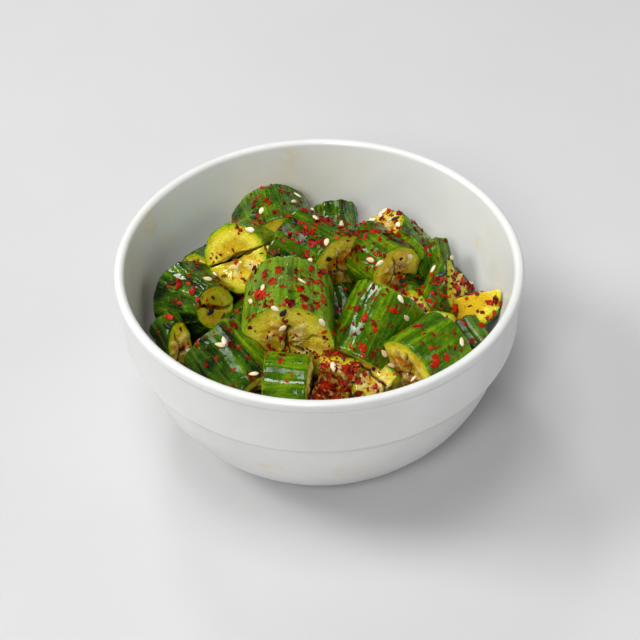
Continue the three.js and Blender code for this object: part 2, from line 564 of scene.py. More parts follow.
@dataclass(frozen=True)
class Toned(Finish):
    """A small dry thing whose pieces run from a dark tone to a light one."""

    name: str
    dark: Colour
    light: Colour
    tip: Colour
    roughness: float
    gloss: float
    glow: float

    def paint(self, graph: Graph, shader: bpy.types.Node) -> None:
        """Sets the tone of each piece.

        Args:
            graph: the graph to write in.
            shader: the Principled node.
        """
        place = graph.node("ShaderNodeTexCoord").outputs["Object"]
        tone, along, _ = graph.parts(graph.attribute("piece").outputs["Vector"])
        cloud = graph.mottle(place, 900.0, -0.2, 0.2)
        colour = graph.blend(graph.math("ADD", tone, cloud, clamp=True), self.dark, self.light)
        colour = graph.blend(graph.span(along, 0.55, 1.0, 0.0, 0.6), colour, self.tip)
        graph.feed(shader.inputs["Base Color"], colour)
        graph.feed(
            shader.inputs["Roughness"],
            graph.mottle(place, 700.0, self.roughness - 0.08, self.roughness + 0.1),
        )
        hold(
            shader,
            {
                "Specular IOR Level": 0.12,
                "Coat Weight": self.gloss,
                "Coat Roughness": 0.12,
                "Subsurface Weight": self.glow,
                "Subsurface Radius": (1.0, 0.4, 0.2),
                "Subsurface Scale": 0.001,
            },
        )
        graph.feed(shader.inputs["Normal"], graph.bump(cloud, 0.3, 0.0001))


@dataclass(frozen=True)
class Tabletop(Finish):
    """A pale matt tabletop."""

    name: str = "pale_table"
    pale: Colour = srgb(204, 204, 204)
    cool: Colour = srgb(198, 198, 199)

    def paint(self, graph: Graph, shader: bpy.types.Node) -> None:
        """Sets the table's faintly uneven paint.

        Args:
            graph: the graph to write in.
            shader: the Principled node.
        """
        place = graph.node("ShaderNodeTexCoord").outputs["Object"]
        cloud = graph.mottle(place, 4.0)
        graph.feed(shader.inputs["Base Color"], graph.blend(cloud, self.pale, self.cool))
        shader.inputs["Roughness"].default_value = 0.7


CHILLI = Toned("chilli_flake", srgb(70, 2, 0), srgb(190, 36, 0), srgb(140, 18, 0), 0.3, 0.05, 0.0)
WHITE_SESAME = Toned(
    "white_sesame", srgb(222, 202, 158), srgb(246, 236, 206), srgb(206, 176, 120), 0.42, 0.2, 0.15
)
BLACK_SESAME = Toned("black_sesame", srgb(14, 13, 16), srgb(44, 42, 50), srgb(30, 26, 26), 0.36, 0.4, 0.0)


# ---------------------------------------------------------------- mesh tools


def finished(name: str, bm: bmesh.types.BMesh, finish: Finish) -> bpy.types.Object:
    """Turns a bmesh in metres into an object at the origin with one finish.

    Args:
        name: the object's name.
        bm: the mesh, which is freed.
        finish: its material.

    Returns:
        The object, linked to the scene.
    """
    bmesh.ops.recalc_face_normals(bm, faces=bm.faces[:])
    mesh = bpy.data.meshes.new(name)
    bm.to_mesh(mesh)
    bm.free()
    return placed(name, mesh, finish)


def placed(name: str, mesh: bpy.types.Mesh, finish: Finish) -> bpy.types.Object:
    """Links a mesh as a smooth-shaded object.

    Args:
        name: the object's name.
        mesh: its mesh.
        finish: its material.

    Returns:
        The object.
    """
    mesh.name = name
    mesh.materials.clear()
    mesh.materials.append(finish.material())
    mesh.shade_smooth()
    made = bpy.data.objects.new(name, mesh)
    bpy.context.scene.collection.objects.link(made)
    log.info("%s: %d faces", name, len(mesh.polygons))
    return made


def lathe(section: Iterable[tuple[float, float]], turns: int) -> bmesh.types.BMesh:
    """Turns a section about the upright axis, with its poles and seam closed.

    Args:
        section: radius and height of each point, in mm.
        turns: how many steps make the full turn.

    Returns:
        The mesh, in metres.
    """
    bm = bmesh.new()
    verts = [bm.verts.new((radius * MM, 0.0, height * MM)) for radius, height in section]
    edges = [bm.edges.new(pair) for pair in zip(verts, verts[1:])]
    bmesh.ops.spin(
        bm,
        geom=verts + edges,
        cent=(0, 0, 0),
        axis=(0, 0, 1),
        angle=math.tau,
        steps=turns,
        use_merge=True,
        use_duplicate=False,
    )
    bmesh.ops.remove_doubles(bm, verts=bm.verts[:], dist=MERGE_DISTANCE)
    return bm


def ease(values: np.ndarray, low: float, high: float) -> np.ndarray:
    """Returns a smooth step.

    Args:
        values: the numbers to map.
        low: where the step starts, at 0.
        high: where it ends, at 1.

    Returns:
        One share for each value.
    """
    share = np.clip((values - low) / (high - low), 0.0, 1.0)
    return share * share * (3 - 2 * share)


def wander(points: np.ndarray, scale: float, shift: float) -> np.ndarray:
    """Returns smooth noise of about -1 to 1 at each point.

    Args:
        points: one row for each point.
        scale: waves for each unit of length.
        shift: moves the pattern, so that two calls differ.

    Returns:
        One value for each point.
    """
    moved = points * scale + shift
    return np.fromiter((noise.noise(p) for p in moved), dtype=float, count=len(moved))


def add_attribute(mesh: bpy.types.Mesh, name: str, rows: np.ndarray) -> None:
    """Stores one vector for each vertex.

    Args:
        mesh: the mesh to store them on.
        name: the attribute's name.
        rows: three numbers for each vertex.
    """
    made = mesh.attributes.new(name, "FLOAT_VECTOR", "POINT")
    made.data.foreach_set("vector", np.ascontiguousarray(rows, dtype=np.float32).ravel())


# ---------------------------------------------------------------- bowl


@dataclass(frozen=True)
class Corner:
    """A corner of the bowl's section: radius from the axis, height, and how far it is rounded off, in mm."""

    radius: float
    height: float
    rounding: float = 0.0


@dataclass
class StonewareBowl:
    """The thick white bowl: a plain band under a beaded lip, over a lower wall set in by a small step."""

    rim_radius: float = 70.0
    height: float = 66.0
    lip_thickness: float = 3.2
    lip_depth: float = 4.5
    lip_overhang: float = 1.1
    band_bottom_radius: float = 68.6
    step_height: float = 42.2
    step_edge: float = 1.2
    lower_centre: tuple[float, float] = (6.0, 44.0)
    lower_semi: tuple[float, float] = (59.0, 54.6)
    foot_width: float = 4.5
    foot_recess: float = 1.6
    inner_centre: tuple[float, float] = (6.0, 52.0)
    inner_floor: float = 4.8
    inner_waist: float = 63.4
    turns: int = 192
    finish: Finish = field(default_factory=Stoneware)

    @staticmethod
    def _arc(
        centre: tuple[float, float], semi: tuple[float, float], low: float, high: float, steps: int
    ) -> list[Corner]:
        """Returns points on an ellipse.

        Args:
            centre: the ellipse's middle, as radius and height.
            semi: its half width and half height.
            low: the first angle, in degrees.
            high: the last angle.
            steps: how many steps lie between them.

        Returns:
            The points, from the first angle to the last.
        """
        found = []
        for i in range(steps + 1):
            angle = math.radians(low + (high - low) * i / steps)
            radius = centre[0] + semi[0] * math.cos(angle)
            found.append(Corner(radius, centre[1] + semi[1] * math.sin(angle)))
        return found

    def pressed_inside(self, points: np.ndarray, gap: float = 0.8) -> np.ndarray:
        """Moves any point that is in the wall to just inside it.

        Args:
            points: one row for each point, in mm.
            gap: how far to keep from the wall, in mm.

        Returns:
            The points, with those in the wall moved inwards.
        """
        centre, semi = self.inner_centre, self.inner_waist - self.inner_centre[0]
        drop = np.clip((centre[1] - points[:, 2]) / (centre[1] - self.inner_floor), 0.0, 1.0)
        lean = (self.rim_radius - self.lip_thickness - self.inner_waist) / (self.height - centre[1])
        straight = lean * np.maximum(points[:, 2] - centre[1], 0)
        limit = centre[0] + semi * np.sqrt(1 - drop * drop) + straight - gap
        radial = np.hypot(points[:, 0], points[:, 1])
        share = np.minimum(1.0, limit / np.maximum(radial, 1e-6))
        return np.c_[points[:, :2] * share[:, None], points[:, 2]]

    def _section(self) -> list[Corner]:
        """Returns the bowl's section, from under the middle, over the lip, to the middle of the floor."""
        start = math.degrees(math.asin(-self.lower_centre[1] / self.lower_semi[1]))
        top = self.step_height - self.step_edge
        end = math.degrees(math.asin((top - self.lower_centre[1]) / self.lower_semi[1]))
        lower = self._arc(self.lower_centre, self.lower_semi, start, end, 22)
        foot = lower[0].radius
        inner_semi = (self.inner_waist - self.inner_centre[0], self.inner_centre[1] - self.inner_floor)
        inner = self._arc(self.inner_centre, inner_semi, -16, -90, 24)
        rim, height = self.rim_radius, self.height
        return [
            Corner(0, self.foot_recess),
            Corner(foot - self.foot_width - self.foot_recess, self.foot_recess, 0.5),
            Corner(foot - self.foot_width, 0.0, 0.5),
            Corner(foot, 0.0, 0.5),
            *lower[1:],
            Corner(self.band_bottom_radius - self.step_edge, self.step_height - self.step_edge / 2, 0.3),
            Corner(self.band_bottom_radius, self.step_height + self.step_edge, 0.9),
            Corner(rim - self.lip_overhang, height - self.lip_depth, 0.8),
            Corner(rim, height - self.lip_depth + self.lip_overhang, 0.9),
            Corner(rim, height, 1.5),
            Corner(rim - self.lip_thickness, height, 1.5),
            Corner(self.inner_waist + 0.2, self.inner_centre[1], 9.0),
            *inner,
            Corner(0, self.inner_floor),
        ]

    @staticmethod
    def _rounded(corners: list[Corner]) -> list[tuple[float, float]]:
        """Returns the section with its corners rounded off."""
        found = []
        for i, corner in enumerate(corners):
            here = Vector((corner.radius, corner.height))
            if not corner.rounding:
                found.append((here.x, here.y))
                continue
            before = Vector((corners[i - 1].radius, corners[i - 1].height))
            after = Vector((corners[i + 1].radius, corners[i + 1].height))
            start = here + (before - here).normalized() * min(corner.rounding, (before - here).length * 0.49)
            end = here + (after - here).normalized() * min(corner.rounding, (after - here).length * 0.49)
            for step in range(7):
                t = step / 6
                point = start * (1 - t) ** 2 + here * 2 * t * (1 - t) + end * t * t
                found.append((point.x, point.y))
        return found

    def build(self) -> bpy.types.Object:
        """Returns the bowl, turned from its section."""
        bm = lathe(self._rounded(self._section()), self.turns)
        made = finished("salad_bowl", bm, self.finish)
        stand_for(made, BOWL_NODE, Slot.GLAZE)
        return made


# ---------------------------------------------------------------- cucumber chunks


@dataclass(frozen=True)
class Slice:
    """A flat cut: everything more than reach mm from the chunk's middle along a direction is cut away."""

    direction: Triple
    reach: float


@dataclass(frozen=True)
class ChunkPlan:
    """One chunk of cucumber, in mm and degrees.

    at is its middle, heading turns its axis from +X, tilt lifts that end, and tip is the radius at that end.
    tone runs from 0, dark green, to 1, bright green. smash is how rough its cut faces are. cracks are the
    directions round the axis in which it has split. bruise is how brown the smashed flesh is. flakes is how
    many chilli flakes have landed on it.
    """

    name: str
    at: Triple
    radius: float
    length: float
    heading: float
    tilt: float
    tip: float = 0.0
    slices: tuple[Slice, ...] = ()
    tone: float = 0.5
    smash: float = 0.6
    cracks: tuple[float, ...] = (90.0, 210.0, 330.0)
    crack_depth: float = 1.3
    crack_reach: float = 0.65
    crack_width: float = 0.6
    bruise: float = 0.15
    seeds: int = 10
    flakes: int = 15


CHUNKS = (
    ChunkPlan(
        "hero", (-10.7, -11.5, 52.9), 15.1, 36, -92, -9, tip=16.3,
        slices=(Slice((-0.035, -0.99, 0.14), 14.0), Slice((0.035, 0.998, 0.0), 10.2)), tone=0.72, smash=1.3,
        cracks=(92, 20, 340, 285, 250), crack_depth=2.0, crack_reach=0.7, bruise=0.3, seeds=30, flakes=145,
    ),
    ChunkPlan(
        "centre_top", (-1.2, 17, 53), 14, 23.5, -38, -4, slices=(Slice((0.66, -0.74, 0.1), 10.5),),
        tone=0.35, smash=1.3, bruise=0.8, seeds=12, flakes=105,
    ),
    ChunkPlan("right_centre", (18.8, -15.0, 47.5), 13, 26, -123, -33, tone=0.6, smash=0.8, flakes=50),
    ChunkPlan(
        "lower_right", (35.8, -28.7, 46), 13, 20, -136, 0, tone=0.65, smash=1.5, bruise=0.9, seeds=14,
        flakes=16,
    ),
    ChunkPlan("left_front", (-29.9, -29.5, 44), 12.5, 24, -50, -20, tone=0.4, flakes=25),
    ChunkPlan("front_block", (-11.3, -37.5, 44), 10.5, 15, -8, 0, tone=0.62, flakes=8),
    ChunkPlan(
        "front_broken", (5, -35, 42), 9.5, 13, -15, -5, slices=(Slice((0.1, -0.55, 0.83), 2.5),), tone=0.5,
        smash=1.8, bruise=1.0, flakes=125,
    ),
    ChunkPlan(
        "front_right_half", (15.8, -32, 41), 8.5, 17, -50, -12, slices=(Slice((-0.3, -0.35, 0.88), 3.0),),
        tone=0.6, smash=0.8, bruise=0.4, flakes=22,
    ),
    ChunkPlan(
        "left_end", (-41.6, 3.7, 44), 14.5, 18, -50, 25, tip=7.8, tone=0.25, smash=0.2, cracks=(-30, 150),
        crack_depth=5.0, crack_reach=0.95, crack_width=0.85, bruise=0.0, seeds=0, flakes=25,
    ),
    ChunkPlan(
        "far_left", (-50, -14, 43.5), 6, 16, -60, -15, slices=(Slice((0.75, -0.45, 0.5), 2.5),), tone=0.3,
        smash=0.4, bruise=0.3, flakes=8,
    ),
    ChunkPlan(
        "split_upper", (-25.8, 25.9, 48.6), 11.8, 22, -112, 30, slices=(Slice((0.35, -0.63, -0.70), 0.1),),
        tone=0.7, smash=0.7, cracks=(), bruise=0.0, seeds=6, flakes=18,
    ),
    ChunkPlan(
        "split_lower", (-25.0, 24.9, 47.8), 11.6, 23, -110, 28, slices=(Slice((-0.35, 0.63, 0.70), 0.5),),
        tone=0.7, smash=0.9, cracks=(), bruise=0.05, seeds=6, flakes=10,
    ),
    ChunkPlan("left_back_small", (-40.5, 25, 43.5), 6.5, 13, -120, 20, tone=0.3, bruise=0.8, flakes=6),
    ChunkPlan("back_left", (-15, 40, 44.5), 15, 22, -78, 5, tone=0.35, seeds=6, flakes=40),
    ChunkPlan("back_centre", (6.6, 41, 47), 8, 15, -85, -30, tone=0.35, flakes=8),
    ChunkPlan(
        "upper_right", (25.8, 30.3, 50.3), 9.6, 24, -22, -38, slices=(Slice((-0.5, 0.08, 0.86), 5.0),),
        tone=0.68, smash=0.9, bruise=0.5, flakes=45,
    ),
    ChunkPlan(
        "right_back", (41, 22.5, 42.5), 7.5, 17, -75, -30, slices=(Slice((0.8, -0.3, 0.5), 6.8),),
        tone=0.35, smash=0.4, flakes=12,
    ),
    ChunkPlan(
        "right_top", (21, 16.5, 51), 11, 20, -48, -4, slices=(Slice((0.55, -0.80, 0.2), 9.0),), tone=0.65,
        smash=1.5, bruise=0.75, seeds=10, flakes=75,
    ),
    ChunkPlan(
        "right_middle", (43.5, 5, 45.5), 8, 17, -118, -28, slices=(Slice((0.75, -0.35, 0.55), 5.5),),
        tone=0.45, smash=0.6, flakes=60,
    ),
    ChunkPlan(
        "right_wedge", (52.8, -2, 47), 9, 18, 35, 10,
        slices=(Slice((-0.35, -0.6, 0.72), 0.5), Slice((-0.2, 0.6, 0.75), 3.0)), tone=0.6, smash=0.2,
        cracks=(), bruise=0.0, seeds=0, flakes=22,
    ),
    ChunkPlan("right_small", (51.5, -15.5, 43), 6, 12, -60, -15, tone=0.35, flakes=10),
    ChunkPlan(
        "right_crumb", (32.4, -3.7, 46.5), 5.5, 12, -70, 0, slices=(Slice((0.1, -0.5, 0.85), 2.0),),
        tone=0.6, smash=1.0, bruise=0.5, flakes=22,
    ),
    ChunkPlan("right_dark", (36, 9, 40), 7.5, 14, -30, 0, tone=0.3, flakes=6),
    ChunkPlan(
        # Painted shade: the low chunks in the gaps between the top chunks have dark tones and strong bruise
        # for the shade between them.
        "shaded_low", (4.8, -18.7, 38), 11, 20, -100, -15, slices=(Slice((0.0, -0.6, 0.8), 5.0),), tone=0.4,
        smash=1.6, bruise=1.0, flakes=12,
    ),
    ChunkPlan("middle_low", (8, 4, 35.5), 10, 18, -70, -20, tone=0.1, smash=1.5, bruise=1.0, flakes=12),
    ChunkPlan("left_low", (-27, 1, 35), 8.5, 18, -120, 10, tone=0.3, bruise=0.6, flakes=8),
    ChunkPlan(
        "crumb", (41, -10.5, 45), 5, 9, -20, 10, slices=(Slice((0.0, -0.5, 0.85), 1.0),), tone=0.5,
        smash=0.8, bruise=0.4, flakes=8,
    ),
    ChunkPlan("bed_front", (-16, -46, 34), 10, 19, 15, 0, tone=0.5, flakes=14),
    ChunkPlan("bed_front_right", (9, -49, 33), 9.5, 18, -12, 0, tone=0.6, flakes=14),
    ChunkPlan("bed_right_front", (32, -39, 34), 7.5, 17, 39, 0, tone=0.4, flakes=10),
    ChunkPlan("bed_left_back", (-36, 38, 34), 6.5, 16, 43, 0, tone=0.3, flakes=4),
    ChunkPlan("bed_back", (14, 50, 32), 7, 20, -16, 0, tone=0.4, flakes=12),
    ChunkPlan("bed_back_right", (33, 40, 33), 7, 18, -40, 0, tone=0.5, flakes=10),
    ChunkPlan("bed_right", (49, 20, 33), 6, 16, -68, 0, tone=0.4, flakes=6),
    ChunkPlan("bed_left_front", (-42, -31, 33), 6.5, 16, -36, 0, tone=0.4, flakes=6),
    ChunkPlan("bed_front_left", (-27, -43, 33), 7.5, 15, -32, 0, tone=0.5, flakes=6),
)


# How a chunk changes inwards: the skin's depths in mm, then shares of its radius. A pip's edge is in its own
# half lengths. A pip's sizes are the least and most half length, half width and half thickness, in mm.
SKIN_TO_FLESH = (0.5, 1.8)
HOLLOW = (0.3, 0.62)
FIBRE_START = (0.08, 0.25)
BRUISE_EDGE = (0.55, 0.78)
PIP_BAND = (0.12, 0.56)
PIP_EDGE = (0.95, 1.3)
PIP_SIZES = ((1.9, 2.9), (0.85, 1.25), (0.6, 1.0))
# Waves for each mm in the slow, middle and quick unevenness, and how far each pattern is shifted.
SLOW_WAVES, MIDDLE_WAVES, QUICK_WAVES = 0.09, 0.28, 0.8
MIDDLE_SHIFT, QUICK_SHIFT, FIBRE_SHIFT = 7, 19, 31
SMOOTHINGS = 3


@dataclass
class CucumberChunk:
    """One smashed chunk: skin all round, rough cut faces with seeds, and splits from the middle outwards."""

    plan: ChunkPlan
    bowl: StonewareBowl
    voxel: float = 0.42
    rings: int = 40
    finish: Finish = field(default_factory=Cucumber)

    def __post_init__(self) -> None:
        """Works out the chunk's own axes, and seeds its random choices by its name."""
        self.chance = random.Random(self.plan.name)
        self.shift = self.chance.uniform(-40, 40)
        turn = Matrix.Rotation(math.radians(self.plan.heading), 4, "Z")
        lift = Matrix.Rotation(math.radians(-self.plan.tilt), 4, "Y")
        self.place = Matrix.Translation(self.plan.at) @ turn @ lift
        self.half = self.plan.length / 2
        self.tip = self.plan.tip or self.plan.radius
        self.faces = [(Vector((1, 0, 0)), self.half), (Vector((-1, 0, 0)), self.half)]
        back = (turn @ lift).to_3x3().inverted()
        for cut in self.plan.slices:
            self.faces.append((back @ Vector(cut.direction).normalized(), cut.reach))

    def _log(self) -> bmesh.types.BMesh:
        """Returns the plain length of cucumber along +X with its slices cut off."""
        bm = bmesh.new()
        bmesh.ops.create_cone(
            bm,
            cap_ends=True,
            segments=self.rings,
            radius1=self.plan.radius,
            radius2=self.tip,
            depth=self.plan.length,
            matrix=Matrix.Rotation(math.pi / 2, 4, "Y"),
        )
        for direction, reach in self.faces[2:]:
            everything = bm.verts[:] + bm.edges[:] + bm.faces[:]
            bmesh.ops.bisect_plane(
                bm,
                geom=everything,
                dist=1e-4,
                plane_co=direction * reach,
                plane_no=direction,
                clear_outer=True,
            )
            bmesh.ops.holes_fill(bm, edges=bm.edges[:], sides=0)
        return bm

    def _seed_places(self) -> list[Matrix]:
        """Returns where the pips show in the cut faces, each lying outwards from the chunk's axis."""
        found = []
        for direction, reach in self.faces:
            across = direction.orthogonal().normalized()
            up = direction.cross(across)
            wanted = self.plan.seeds
            for _ in range(wanted * 8):
                if wanted <= 0:
                    break
                spot = direction * (reach - 0.25)
                spot += across * self.chance.uniform(-self.half, self.half) * 1.2
                spot += up * self.chance.uniform(-self.half, self.half) * 1.2
                outwards = Vector((0, spot.y, spot.z))
                others = [(other, far) for other, far in self.faces if other is not direction]
                within = all(spot.dot(other) < far - 0.6 for other, far in others)
                if not within or not PIP_BAND[0] < outwards.length / self.plan.radius < PIP_BAND[1]:
                    continue
                outwards -= direction * outwards.dot(direction)
                if outwards.length < 0.1:
                    continue
                wanted -= 1
                outwards.normalize()
                turned = Matrix.Rotation(self.chance.gauss(0, 0.5), 3, direction) @ outwards
                side = direction.cross(turned)
                axes = Matrix((turned, side, direction)).transposed().to_4x4()
                length, width, thick = (self.chance.uniform(*PIP_SIZES[i]) for i in range(3))
                size = Vector((length, width, thick))
                found.append(Matrix.Translation(spot) @ axes @ Matrix.Diagonal((*size, 1)))
        return found

    def _remeshed(self, bm: bmesh.types.BMesh) -> bpy.types.Mesh:
        """Lays an even, closed mesh over a set of joined shapes.

        Args:
            bm: the shapes, which are freed.

        Returns:
            The mesh.
        """
        rough = bpy.data.meshes.new("rough")
        bm.to_mesh(rough)
        bm.free()
        holder = bpy.data.objects.new("rough", rough)
        bpy.context.scene.collection.objects.link(holder)
        even = holder.modifiers.new("even", "REMESH")
        even.mode = "VOXEL"
        even.voxel_size = self.voxel
        bpy.context.view_layer.update()
        graph = bpy.context.evaluated_depsgraph_get()
        mesh = bpy.data.meshes.new_from_object(holder.evaluated_get(graph))
        bpy.data.objects.remove(holder)
        bpy.data.meshes.remove(rough)
        soft = bmesh.new()
        soft.from_mesh(mesh)
        for _ in range(SMOOTHINGS):
            bmesh.ops.smooth_vert(
                soft, verts=soft.verts[:], factor=0.5, use_axis_x=True, use_axis_y=True, use_axis_z=True
            )
        soft.to_mesh(mesh)
        soft.free()
        return mesh

    def _weather(self, mesh: bpy.types.Mesh, seeds: list[Matrix]) -> None:
        """Roughens the mesh and stores what its finish reads.

        Args:
            mesh: the plain chunk, in mm and in its own axes.
            seeds: the pips' places.
        """
        plan, count = self.plan, len(mesh.vertices)
        points = np.empty(count * 3)
        mesh.vertices.foreach_get("co", points)
        points = points.reshape(-1, 3)
        normals = np.empty(count * 3)
        mesh.vertices.foreach_get("normal", normals)
        normals = normals.reshape(-1, 3)

        along = (points[:, 0] + self.half) / plan.length
        radius = plan.radius + (self.tip - plan.radius) * np.clip(along, 0, 1)
        radial = np.hypot(points[:, 1], points[:, 2])
        depth = np.maximum(radius - radial, 0.0)
        under = ease(depth, *SKIN_TO_FLESH)
        share = radial / radius

        seed = np.zeros(count)
        for place in seeds:
            local = np.c_[points, np.ones(count)] @ np.array(place.inverted()).T
            seed = np.maximum(seed, 1 - ease(np.linalg.norm(local[:, :3], axis=1), *PIP_EDGE))

        slow = wander(points, SLOW_WAVES, self.shift)
        middle = wander(points, MIDDLE_WAVES, self.shift + MIDDLE_SHIFT)
        quick = wander(points, QUICK_WAVES, self.shift + QUICK_SHIFT)
        angle = np.arctan2(points[:, 2], points[:, 1])
        # The crack mask both digs the splits and marks where the finish paints shade in them.
        crack = np.zeros(count)
        for turn in plan.cracks:
            way = math.radians(turn) + 0.25 * middle
            offside = np.abs(points[:, 1] * np.sin(way) - points[:, 2] * np.cos(way))
            ahead = points[:, 1] * np.cos(way) + points[:, 2] * np.sin(way)
            width = plan.crack_width * (1 + 0.4 * quick)
            line = (1 - ease(offside, 0.15 * width, 1.1 * width)) * ease(ahead, -0.6, 0.6)
            near = 1 - ease(share, plan.crack_reach - 0.15, plan.crack_reach + 0.15)
            crack = np.maximum(crack, line * near)
        crack *= under

        hollow = (1 - ease(share, *HOLLOW)) * under
        spokes = np.c_[np.cos(angle), np.sin(angle), 0.12 * share] * 3.2
        fibre = wander(spokes, 1.0, self.shift + FIBRE_SHIFT) * ease(share, *FIBRE_START)
        torn = plan.smash * (0.25 + 0.75 * hollow)
        flesh_move = torn * (0.5 * middle + 0.35 * quick + 0.5 * fibre) - 0.8 * plan.smash * hollow
        flesh_move += 0.25 * seed * under - plan.crack_depth * crack
        ridges = np.cos(9 * angle + 2 * slow) + 0.5 * np.cos(17 * angle + 3 * slow)
        skin_move = 0.5 * slow + 0.16 * ridges + 0.12 * middle + 0.05 * quick
        move = skin_move * (1 - under) + (flesh_move + 0.3 * slow) * under
        moved = points + normals * move[:, None]

        place = np.array(self.place)
        world = (np.c_[moved, np.ones(count)] @ place.T)[:, :3]
        world = self.bowl.pressed_inside(world) * MM
        mesh.vertices.foreach_set("co", world.ravel())
        ring = 1 - 0.75 * ease(share, *BRUISE_EDGE)
        bruise = plan.bruise * ring * np.clip(0.6 + 0.6 * middle + 0.8 * fibre + 0.5 * hollow, 0, 1)
        add_attribute(mesh, "grain", points + self.shift)
        add_attribute(mesh, "layers", np.c_[depth, share, seed * under])
        add_attribute(mesh, "tone_crack_shade_bruise", np.c_[np.full(count, plan.tone), crack, bruise])
        mesh.update()

    def build(self) -> bpy.types.Object:
        """Returns the chunk as an object in its place."""
        bm = self._log()
        seeds = self._seed_places()
        for place in seeds:
            bmesh.ops.create_icosphere(bm, subdivisions=2, radius=1.0, matrix=place)
        mesh = self._remeshed(bm)
        self._weather(mesh, seeds)
        made = placed(f"chunk_{self.plan.name}", mesh, self.finish)
        stand_for(made, HEAP_NODE, Slot.CUCUMBER)
        return made


@dataclass
class DressingAndShadeCore:
    """The dark packed inside of the heap, which fills the bowl under and between the chunks; its dark colour
    is partly dressing and partly painted shade in the gaps.

    Its underside is an arc of an ellipse round a ring, just inside the bowl. Its top is a low, dented dome.
    """

    floor: float = 5.4
    ring_radius: float = 6
    ring_height: float = 52
    semi_across: float = 56.8
    semi_down: float = 46.4
    arc_degrees: float = 66
    arc_steps: int = 12
    rise: float = 5.0
    dome_steps: int = 14
    dent: float = 1.8
    dent_waves: float = 130
    dent_above: float = 0.3
    turns: int = 96
    finish: Finish = field(default_factory=SauceAndShade)

    def build(self) -> bpy.types.Object:
        """Returns the core, turned from a simple section and dented unevenly on top."""
        section = [(0.0, self.floor)]
        for i in range(self.arc_steps + 1):
            angle = math.radians(-90 + self.arc_degrees * i / self.arc_steps)
            across = self.ring_radius + self.semi_across * math.cos(angle)
            section.append((across, self.ring_height + self.semi_down * math.sin(angle)))
        edge_radius, edge_height = section[-1]
        for i in range(1, self.dome_steps + 1):
            share = 1 - i / self.dome_steps
            section.append((edge_radius * share, edge_height + self.rise * (1 - share * share)))
        bm = lathe(section, self.turns)
        for vert in bm.verts:
            if vert.co.z > (edge_height + self.dent_above) * MM:
                vert.co.z += noise.noise(vert.co * self.dent_waves) * self.dent * MM
        made = finished("dressing_core", bm, self.finish)
        stand_for(made, HEAP_NODE, Slot.CUCUMBER)
        return made


# ---------------------------------------------------------------- view


@dataclass(frozen=True)
class Sight:
    """The way that a guest looks down at the bowl, along which the camera looks."""

    pitch: float = 42.3
    roll: float = 1.0
    distance: float = 0.7
    aim_height: float = 0.0388

    def axes(self) -> tuple[Vector, Vector, Vector]:
        """Returns the directions across the view, up it and along it."""
        pitch, roll = math.radians(self.pitch), math.radians(self.roll)
        forward = Vector((0, math.cos(pitch), -math.sin(pitch)))
        up = Vector((0, math.sin(pitch), math.cos(pitch)))
        right = Vector((1, 0, 0))
        across = right * math.cos(roll) - up * math.sin(roll)
        over = up * math.cos(roll) + right * math.sin(roll)
        return across, over, forward

    def aim(self) -> Vector:
        """Returns the point at the middle of the view."""
        return Vector((0, 0, self.aim_height))


# ---------------------------------------------------------------- toppings

# How many seeds of each colour have landed on each chunk.
WHITE_COUNTS = {
    "hero": 7, "centre_top": 4, "right_centre": 3, "lower_right": 2, "left_front": 3, "front_broken": 1,
    "left_end": 2, "far_left": 1, "split_upper": 1, "split_lower": 1, "back_left": 4, "back_centre": 1,
    "upper_right": 4, "right_top": 3, "right_middle": 2, "right_crumb": 3, "right_dark": 1,
    "front_right_half": 1, "right_back": 1, "bed_back": 2, "bed_front": 2, "bed_right": 1,
}
BLACK_COUNTS = {
    "centre_top": 7, "hero": 1, "right_top": 1, "upper_right": 1, "right_middle": 3, "right_dark": 1,
    "right_crumb": 1, "front_broken": 1, "far_left": 1, "left_low": 1, "back_left": 2, "left_end": 1,
    "bed_back": 1, "bed_front_right": 1,
}


# The way that open places face: up, and a little to the front.
SKY = Vector((0, -0.34, 0.94))
CLEAR_ABOVE = 0.6
FLAKE_FACING, DUST_FACING, SEED_FACING = 0.52, 0.3, 0.3
SEED_LIFT = 0.3


@dataclass
class Surface:
    """The top of the heap, on which the seeds and flakes come to rest."""

    chunks: dict[str, bpy.types.Object]

    def __post_init__(self) -> None:
        """Joins the chunks into one tree for finding where a line meets them."""
        points: list[Vector] = []
        polygons: list[list[int]] = []
        for chunk in self.chunks.values():
            start = len(points)
            points.extend(v.co.copy() for v in chunk.data.vertices)
            polygons.extend([start + i for i in p.vertices] for p in chunk.data.polygons)
        self.tree = BVHTree.FromPolygons(points, polygons)

    def landing(self, start: Vector, way: Vector) -> tuple[Vector, Vector] | None:
        """Returns where a line from a point lands, with the surface's normal there, or None."""
        place, normal, _, _ = self.tree.ray_cast(start, way)
        return None if place is None else (place, normal)

    def open_spots(
        self, chunk: bpy.types.Object, chance: random.Random, wanted: int, least: float
    ) -> list[tuple[Vector, Vector]]:
        """Returns places on a chunk that face upwards or forwards and have nothing over them.

        Args:
            chunk: the chunk to look on.
            chance: the random choices.
            wanted: how many places.
            least: how far a place must face the sky, from -1 to 1.

        Returns:
            The places with their normals.
        """
        found = []
        vertices = chunk.data.vertices
        for _ in range(wanted * 30):
            if len(found) >= wanted:
                break
            vertex = vertices[chance.randrange(len(vertices))]
            facing = vertex.normal.dot(SKY)
            if facing < least or chance.random() > 0.25 + facing:
                continue
            if self.tree.ray_cast(vertex.co + vertex.normal * CLEAR_ABOVE * MM, SKY)[0] is not None:
                continue
            found.append((vertex.co.copy(), vertex.normal.copy()))
        return found


